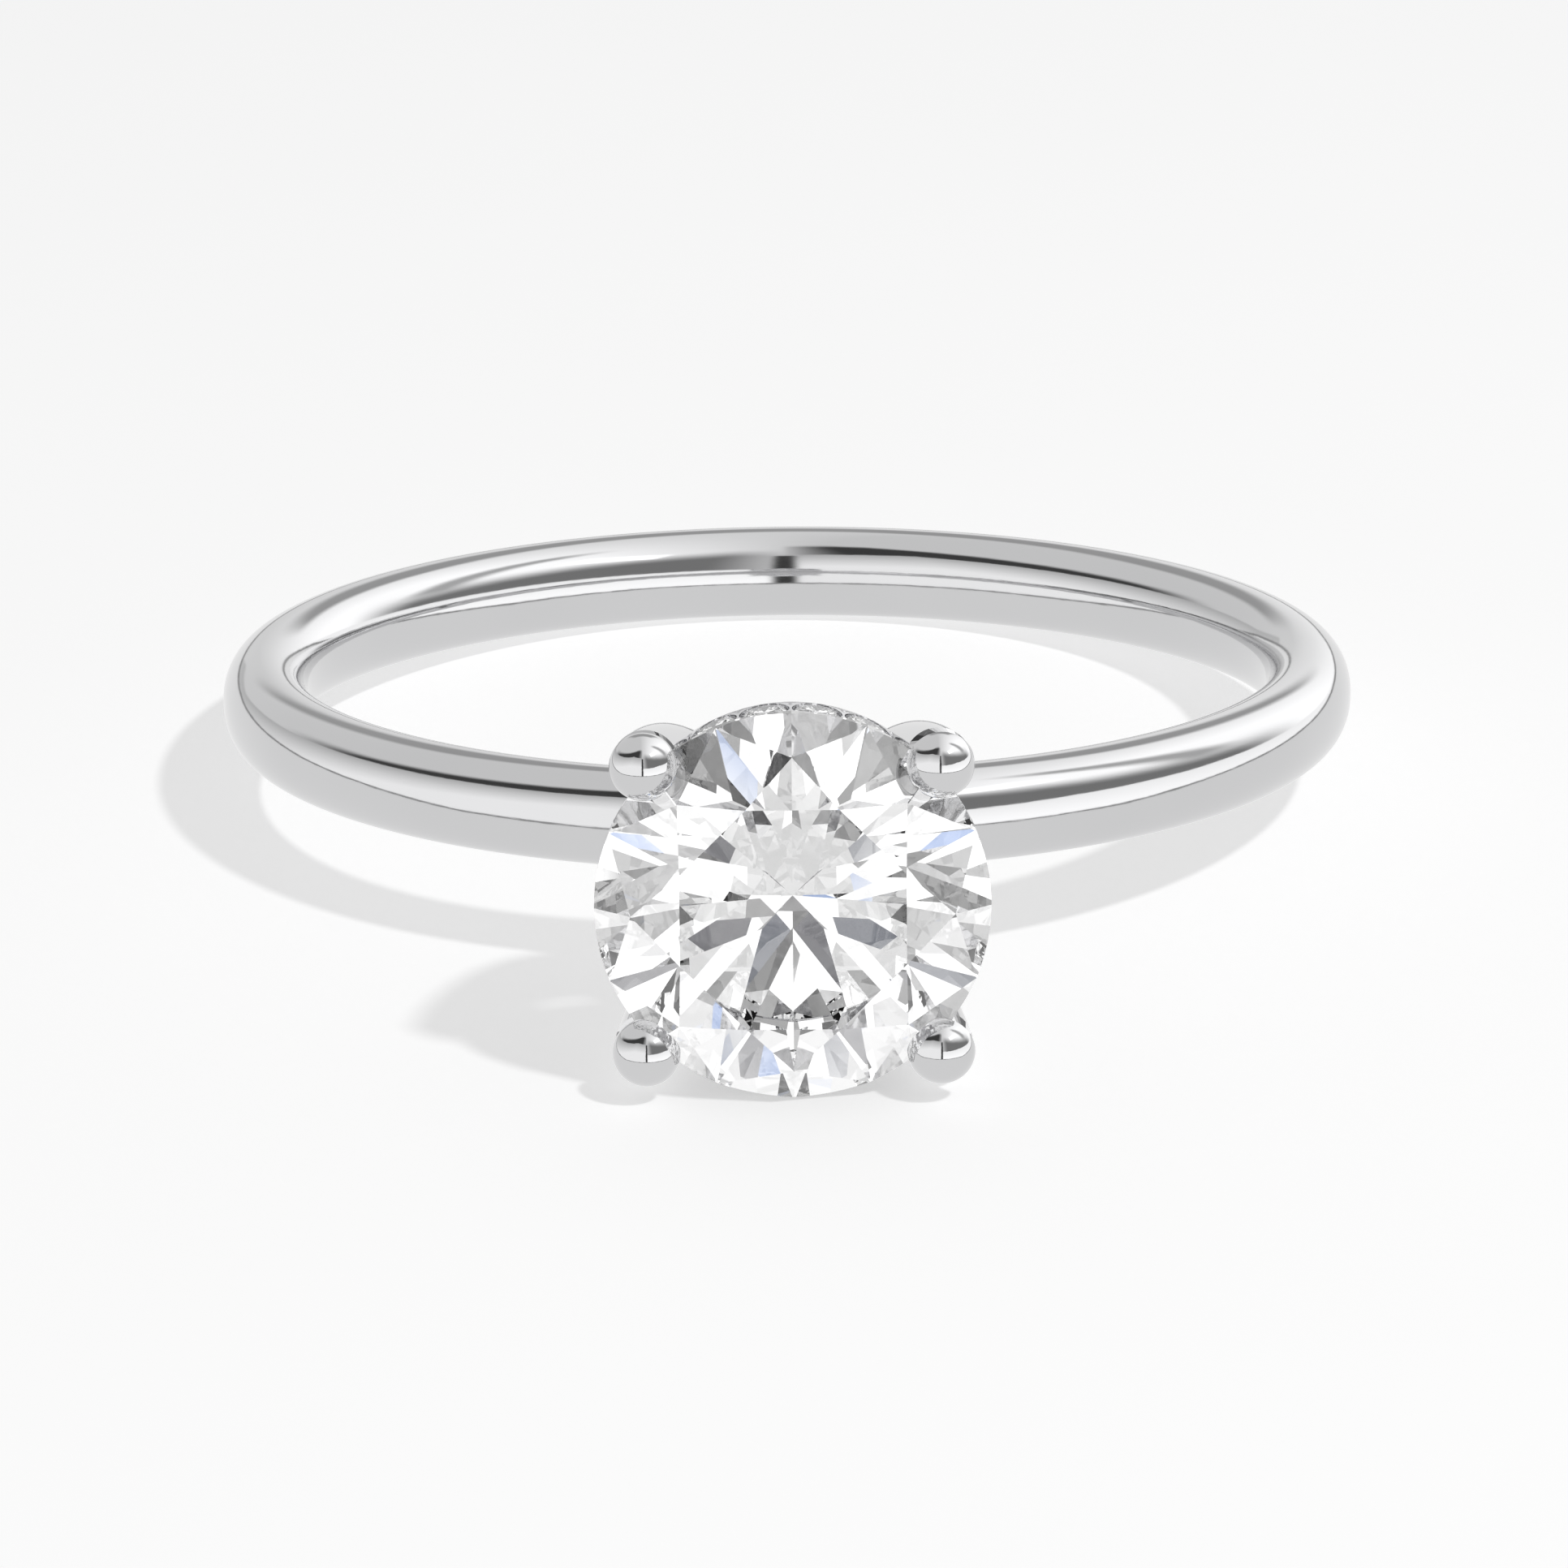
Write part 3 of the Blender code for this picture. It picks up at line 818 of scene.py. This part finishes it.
# What the metal mirrors. Angles are in degrees: azimuth is 0 towards the camera and grows to the right.
# A slope says how one measure follows another, and stays level beyond its ends.
STRAIGHT_DOWN = -90
FLOOR_TONE = 0.90
FLOOR_SOFT = 0.8
FLOOR_EDGE = {"From Min": 70, "From Max": 150, "To Min": -13, "To Max": 0}  # elevation by azimuth
EDGE_TONE = 0.30
EDGE_HALF = 1.0
OVERHEAD_TONE = {"From Min": -0.1, "From Max": 0.6, "To Min": 0.80, "To Max": 1.50}  # by the way right
BOX_REACH = 165
BOX_SOFT = 2.0
BOX_SHADE = {"From Min": -30, "From Max": 0}  # a box's tone changes over this far below its upper edge
# Each box: how far round it goes, its upper edge as elevation by azimuth, its tones low down and at that
# edge, the height of the dark gap above it by azimuth, and the gap's tone and softness
BOXES = {
    "left": (
        (-BOX_REACH, 0), {"From Min": -150, "From Max": -40, "To Min": 6, "To Max": 48}, (1.20, 0.55),
        {"From Min": -110, "From Max": -25, "To Min": 1, "To Max": 20}, 0.06, 10.0,
    ),
    "right": (
        (0, BOX_REACH), {"From Min": 60, "From Max": 150, "To Min": 13, "To Max": 3}, (1.55, 1.25),
        {"From Min": 15, "From Max": 110, "To Min": 27, "To Max": 0}, 0.24, 26.0,
    ),
}
GAP_REACH = (6, 118)  # the gaps fade in and out this far round
GAP_FADE = 30
# Azimuths, elevations, softness and tone
METAL_PATCHES = {
    "slot_between_the_boxes": ((-3, 3), (-14, 44), 3.0, 0.05),
    "wall_behind_left": ((-190, -162), (14, 38), 9.0, 0.42),
    "wall_behind_right": ((162, 190), (14, 38), 9.0, 0.42),
    "dark_upright": ((96, 112), (22, 64), 12.0, 0.55),
    "bright_oval": ((40, 74), (46, 56), 5.0, 1.9),
}
STONE_WHITE = 1.45
# The light that matt surfaces get, from near the horizon to overhead
MATT_ROOM = {"From Min": 5.0, "From Max": 55.0, "To Min": 0.10, "To Max": 0.34}
# Cards and flags in front of the white room that the stones mirror, so that some facets go grey, black
# or blue: azimuths, elevations and colour, with later ones in front of earlier ones
CARD_EDGE = 1.2
STONE_CARDS = {
    "roof": ((-61, 64), (36, 60), "#B3B3B3"),
    "roof_flag": ((-45, -15), (36, 48), "#303030"),
    "roof_bar": ((-22, 22), (48, 60), "#262626"),
    "roof_edge": ((-11, 5), (31, 36), "#808080"),
    "high_left_flag": ((-60, -30), (60, 75), "#303030"),
    "high_card": ((0, 30), (60, 75), "#B3B3B3"),
    "high_right_card": ((60, 90), (60, 75), "#B3B3B3"),
    "low_left_card": ((-15, -5), (4.5, 9), "#8C8C90"),
    "low_right_card": ((5, 15), (4.5, 9), "#8E9199"),
    "cross_bar": ((-15, 5), (9, 13.5), "#909090"),
    "lens": ((-5, 5), (14, 22), "#303030"),
    "right_card": ((15, 30), (0, 12), "#B3B3B3"),
    "right_slit": ((30, 45), (0, 12), "#303030"),
    "far_right_slit": ((60, 75), (0, 12), "#303030"),
    "left_slit": ((-75, -60), (0, 24), "#303030"),
    "left_flag": ((-60, -45), (12, 24), "#303030"),
    "right_flag": ((45, 60), (12, 24), "#303030"),
    "far_right_flag": ((60, 90), (12, 24), "#707070"),
    "right_sheet": ((45, 90), (24, 36), "#B3B3B3"),
    "back_left_flag": ((-180, -135), (0, 36), "#404040"),
    "back_right_flag": ((135, 180), (0, 36), "#404040"),
    "blue_left": ((-15, -9), (22, 28), "#8FAEE6"),
    "blue_far_left": ((-44, -37), (14, 22), "#A5BDEB"),
    "blue_right": ((8, 14), (25, 31), "#9AB6EA"),
    "blue_far_right": ((33, 41), (13, 20), "#9AB6EA"),
}


def window(tree, value, low, high, soft):
    """1 between low and high and 0 outside, with soft edges."""
    half = soft / 2
    opens = put(
        tree, "ShaderNodeMapRange",
        {"Value": value, "From Min": low - half, "From Max": low + half},
        interpolation_type="SMOOTHSTEP",
    )
    shuts = put(
        tree, "ShaderNodeMapRange",
        {"Value": value, "From Min": high + half, "From Max": high - half},
        interpolation_type="SMOOTHSTEP",
    )
    both = {0: opens.outputs[0], 1: shuts.outputs[0]}
    return put(tree, "ShaderNodeMath", both, operation="MULTIPLY").outputs[0]


def patch(tree, azimuth, elevation, across, up, soft):
    """A soft-edged patch of the sky."""
    both = {0: window(tree, azimuth, *across, soft), 1: window(tree, elevation, *up, soft)}
    return put(tree, "ShaderNodeMath", both, operation="MULTIPLY").outputs[0]


def grey(tone):
    return (tone, tone, tone, 1)


def layered(tree, base, layers):
    """base with each named layer's colour laid over it, by the layer's share of the sky."""
    for name, share, colour in layers:
        laid = {"Factor": share, 6: base, 7: colour}
        base = put(tree, "ShaderNodeMix", laid, data_type="RGBA", label=name).outputs[2]
    return base


def box_layers(tree, name, azimuth, elevation, near):
    """The layers of one box and of the dark gap above it, which near fades out."""
    reach, top, tones, gap_height, gap_tone, gap_soft = BOXES[name]
    side = window(tree, azimuth, *reach, BOX_SOFT)
    edge = put(tree, "ShaderNodeMapRange", {"Value": azimuth, **top}).outputs[0]
    above = put(tree, "ShaderNodeMath", {0: elevation, 1: edge}, operation="SUBTRACT").outputs[0]
    height = put(tree, "ShaderNodeMapRange", {"Value": azimuth, **gap_height}).outputs[0]
    beyond = put(tree, "ShaderNodeMath", {0: above, 1: height}, operation="SUBTRACT").outputs[0]
    gap = put(
        tree, "ShaderNodeMapRange", {"Value": beyond, "From Min": gap_soft, "From Max": 0.0},
        interpolation_type="SMOOTHSTEP",
    ).outputs[0]
    for share in (near, side):
        gap = put(tree, "ShaderNodeMath", {0: gap, 1: share}, operation="MULTIPLY").outputs[0]
    below = window(tree, above, STRAIGHT_DOWN, -BOX_SOFT / 2, BOX_SOFT)
    box = put(tree, "ShaderNodeMath", {0: below, 1: side}, operation="MULTIPLY").outputs[0]
    shading = {"Value": above, **BOX_SHADE, "To Min": tones[0], "To Max": tones[1]}
    tone = put(tree, "ShaderNodeMapRange", shading).outputs[0]
    return [(f"{name}_gap", gap, grey(gap_tone)), (f"{name}_box", box, tone)]


def metal_room(tree, sideways, azimuth, elevation):
    """The room that the metal mirrors: a pale sheet below, a box on each side and a large one overhead,
    with dark gaps between them."""
    overhead = put(tree, "ShaderNodeMapRange", {"Value": sideways, **OVERHEAD_TONE}).outputs[0]
    away = put(tree, "ShaderNodeMath", {0: azimuth}, operation="ABSOLUTE").outputs[0]
    edge = put(tree, "ShaderNodeMapRange", {"Value": away, **FLOOR_EDGE}).outputs[0]
    above = put(tree, "ShaderNodeMath", {0: elevation, 1: edge}, operation="SUBTRACT").outputs[0]
    near = window(tree, away, *GAP_REACH, GAP_FADE)
    layers = []
    for name in BOXES:
        layers += box_layers(tree, name, azimuth, elevation, near)
    for name, (across, up, soft, tone) in METAL_PATCHES.items():
        layers.append((name, patch(tree, azimuth, elevation, across, up, soft), grey(tone)))
    layers.append(
        ("sheet_edge", window(tree, above, -EDGE_HALF, EDGE_HALF, EDGE_HALF), grey(EDGE_TONE))
    )
    sheet = window(tree, above, 2 * STRAIGHT_DOWN, -FLOOR_SOFT, FLOOR_SOFT)
    layers.append(("sheet", sheet, grey(FLOOR_TONE)))
    return layered(tree, overhead, layers)


def stone_room(tree, azimuth, elevation):
    """The room that the stones mirror: white all round, with cards and flags in front of it."""
    layers = [
        (name, patch(tree, azimuth, elevation, across, up, CARD_EDGE), (*linear(code), 1))
        for name, (across, up, code) in STONE_CARDS.items()
    ]
    return layered(tree, grey(STONE_WHITE), layers)


def light_the_world(stage):
    """A studio of soft boxes. Matt surfaces see a dim grey room that is brighter overhead, metal sees boxes
    with dark gaps between them, and the stones see a white room with cards and flags."""
    world = bpy.data.worlds.new("studio")
    world.use_nodes = True
    bpy.context.scene.world = world
    tree = world.node_tree
    way = put(tree, "ShaderNodeTexCoord").outputs["Generated"]
    part = put(tree, "ShaderNodeSeparateXYZ", {0: way}).outputs
    front = put(tree, "ShaderNodeMath", {0: part["Y"], 1: -1.0}, operation="MULTIPLY").outputs[0]
    turn = put(tree, "ShaderNodeMath", {0: part["X"], 1: front}, operation="ARCTAN2").outputs[0]
    rise = put(tree, "ShaderNodeMath", {0: part["Z"]}, operation="ARCSINE").outputs[0]
    azimuth, elevation = (
        put(tree, "ShaderNodeMath", {0: angle}, operation="DEGREES").outputs[0] for angle in (turn, rise)
    )
    path = put(tree, "ShaderNodeLightPath").outputs
    matt = put(
        tree, "ShaderNodeMapRange", {"Value": elevation, **MATT_ROOM}, interpolation_type="SMOOTHSTEP"
    ).outputs[0]
    rooms = [
        ("metal", path["Is Glossy Ray"], metal_room(tree, part["X"], azimuth, elevation)),
        ("stones", path["Is Transmission Ray"], stone_room(tree, azimuth, elevation)),
        ("backdrop", path["Is Camera Ray"], (*stage.backdrop, 1)),
    ]
    tree.links.new(layered(tree, matt, rooms), tree.nodes["Background"].inputs["Color"])


def add_key_light(stage):
    """A soft oval box, up and to the right on the camera's side."""
    lamp = bpy.data.lights.new("key_box", "AREA")
    lamp.shape = "ELLIPSE"
    lamp.size, lamp.size_y = KEY_SIZE
    lamp.energy = stage.key_power
    key = bpy.data.objects.new("key_box", lamp)
    bpy.context.scene.collection.objects.link(key)
    key.location = KEY_FROM.normalized() * KEY_DISTANCE
    key.rotation_euler = KEY_FROM.to_track_quat("Z", "Y").to_euler()
    key.visible_glossy = False
    key.visible_transmission = False


def add_camera():
    lens = bpy.data.cameras.new("camera")
    lens.lens = CAMERA_LENS
    lens.sensor_width = CAMERA_SENSOR
    lens.clip_start = 0.001
    lens.clip_end = 10.0
    camera = bpy.data.objects.new("camera", lens)
    bpy.context.scene.collection.objects.link(camera)
    facing = (CAMERA_AIM - CAMERA_PLACE).to_track_quat("-Z", "Y").to_matrix().to_4x4()
    camera.matrix_world = (
        Matrix.Translation(ring_centre() + CAMERA_PLACE) @ facing @ Matrix.Rotation(CAMERA_ROLL, 4, "Z")
    )
    bpy.context.scene.camera = camera


# Operators


class RING_OT_band(bpy.types.Operator):
    """Spins the band's rounded section round the finger hole"""

    bl_idname = "ring.band"
    bl_label = "Band"

    def execute(self, context):
        place = ring_place()
        finish = polished_white_gold(
            "band_polished_white_gold", context.scene.ring_band.colour, BAND_POLISH, place
        )
        band = spun(band_section(), BAND_STEPS)
        add_piece("band", band, place, finish, ["shank"])
        return {"FINISHED"}


class RING_OT_base(bpy.types.Operator):
    """Turns the small drum between the band and the claws' feet"""

    bl_idname = "ring.base"
    bl_label = "Base drum"

    def execute(self, context):
        place = head_place()
        band_room = spun(band_section(JOINT_GAP), BAND_STEPS // 2)
        bmesh.ops.transform(band_room, matrix=Matrix.Rotation(math.pi / 2, 4, "X"), verts=band_room.verts)
        shape = less(base_shape(), band_room, round_the_head(claw_shape(JOINT_GAP)))
        add_piece("base_cup", shape, place, head_finish(context), ["base_drum"])
        return {"FINISHED"}


class RING_OT_rail(bpy.types.Operator):
    """Turns the round wire that ties the claws together"""

    bl_idname = "ring.rail"
    bl_label = "Gallery rail"

    def execute(self, context):
        shape = less(rail_shape(), round_the_head(claw_shape(JOINT_GAP)))
        add_piece("under_rail", shape, head_place(), head_finish(context), ["gallery_rail"])
        return {"FINISHED"}


class RING_OT_claws(bpy.types.Operator):
    """Draws four claws with domed tips and cuts the centre stone's seat into each"""

    bl_idname = "ring.claws"
    bl_label = "Claws"

    def execute(self, context):
        size = context.scene.ring_claws
        finish = polished_white_gold(
            "claw_polished_white_gold", size.colour, CLAW_POLISH, head_place()
        )
        for index, name in enumerate(CLAW_NAMES):
            claw = claw_shape()
            turn = Matrix.Rotation(FIRST_CLAW + index * math.tau / CLAW_COUNT, 4, "Z")
            bmesh.ops.transform(claw, matrix=turn, verts=claw.verts)
            seated = less(claw, centre_stone_shape(size.seat_gap))
            add_piece(f"claw_{name}", seated, head_place(), finish, [f"prong_{name}"])
        return {"FINISHED"}


class RING_OT_centre_stone(bpy.types.Operator):
    """Grinds the centre stone, a round brilliant, facet by facet"""

    bl_idname = "ring.centre_stone"
    bl_label = "Centre stone"

    def execute(self, context):
        finish = polished_diamond("centre_polished_diamond", context.scene.ring_stone.colour)
        add_piece(
            "centre_brilliant", centre_stone_shape(), head_place(), finish,
            ["centre_stone"], crease=None,
        )
        return {"FINISHED"}


class RING_OT_collar(bpy.types.Operator):
    """Turns the halo's collar, cuts its seats and raises the grains that hold its stones"""

    bl_idname = "ring.collar"
    bl_label = "Halo collar"

    def execute(self, context):
        seats = bmesh.new()
        seat = halo_seat_shape()
        for place in halo_places():
            add_copy(seats, seat, place)
        seat.free()
        finish = head_finish(context)
        shape = less(collar_shape(), seats, round_the_head(claw_shape(JOINT_GAP)))
        add_piece("halo_ring", shape, head_place(), finish, ["halo_collar"])
        add_piece("halo_grains", grains_shape(), head_place(), finish, [])
        return {"FINISHED"}


class RING_OT_halo_stones(bpy.types.Operator):
    """Grinds the small brilliants of the hidden halo and sets them in the collar"""

    bl_idname = "ring.halo_stones"
    bl_label = "Halo stones"

    def execute(self, context):
        finish = polished_diamond("halo_polished_diamond", context.scene.ring_stone.colour)
        for index, place in enumerate(halo_places(), 1):
            shape = ground_stone(halo_radius(), halo_girdle_half(), HALO_TABLE_SHARE, HALO_GIRDLE_SIDES)
            add_piece(
                f"halo_brilliant_{index:02d}", shape, head_place() @ place, finish,
                [f"halo_stone_{index:02d}"], crease=None,
            )
        return {"FINISHED"}


class RING_OT_stage(bpy.types.Operator):
    """Lays the floor and sets up the soft boxes and the camera"""

    bl_idname = "ring.stage"
    bl_label = "Stage"

    def execute(self, context):
        stage = context.scene.ring_stage
        bm = bmesh.new()
        bmesh.ops.create_circle(bm, cap_ends=True, segments=FLOOR_STEPS, radius=stage.floor_radius)
        mesh = mesh_of("floor", bm)
        mesh.materials.append(opal_sheet(stage.floor_colour, stage.floor_glow))
        floor = bpy.data.objects.new("floor", mesh)
        context.scene.collection.objects.link(floor)
        floor.visible_glossy = False
        light_the_world(stage)
        add_key_light(stage)
        add_camera()
        show_true_tones(context.scene)
        return {"FINISHED"}


def head_finish(context):
    """The head's white gold, made once for the base, the rail and the collar."""
    name = "head_polished_white_gold"
    made = bpy.data.materials.get(name)
    if made is None:
        colour = context.scene.ring_halo.colour
        made = polished_white_gold(name, colour, HEAD_POLISH, head_place())
    return made


def show_true_tones(scene):
    """Whites stay white, and light may turn often enough inside the stones."""
    scene.view_settings.view_transform = "Standard"
    scene.cycles.max_bounces = 32
    scene.cycles.glossy_bounces = 24
    scene.cycles.transmission_bounces = 32
    scene.cycles.caustics_refractive = False


OPERATORS = (
    RING_OT_band, RING_OT_base, RING_OT_rail, RING_OT_claws, RING_OT_centre_stone, RING_OT_collar,
    RING_OT_halo_stones, RING_OT_stage,
)
SETTINGS = {
    "ring_band": RingBandSettings,
    "ring_stone": RingStoneSettings,
    "ring_claws": RingClawSettings,
    "ring_halo": RingHaloSettings,
    "ring_stage": RingStageSettings,
}


class RING_PT_pieces(bpy.types.Panel):
    """Lists the ring's pieces and their sizes"""

    bl_idname = "RING_PT_pieces"
    bl_label = "Ring"
    bl_space_type = "VIEW_3D"
    bl_region_type = "UI"
    bl_category = "Ring"

    def draw(self, context):
        column = self.layout.column(align=True)
        for operator in OPERATORS:
            column.operator(operator.bl_idname)
        for name, group in SETTINGS.items():
            box = self.layout.box()
            for setting in group.__annotations__:
                box.prop(getattr(context.scene, name), setting)


def register():
    for made in (*SETTINGS.values(), *OPERATORS, RING_PT_pieces):
        bpy.utils.register_class(made)
    for name, group in SETTINGS.items():
        setattr(bpy.types.Scene, name, PointerProperty(type=group))


def unregister():
    for name in SETTINGS:
        delattr(bpy.types.Scene, name)
    for made in (RING_PT_pieces, *reversed(OPERATORS), *reversed(SETTINGS.values())):
        bpy.utils.unregister_class(made)


def main():
    register()
    for operator in OPERATORS:
        family, name = operator.bl_idname.split(".")
        getattr(getattr(bpy.ops, family), name)()
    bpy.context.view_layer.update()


if __name__ == "__main__":
    main()
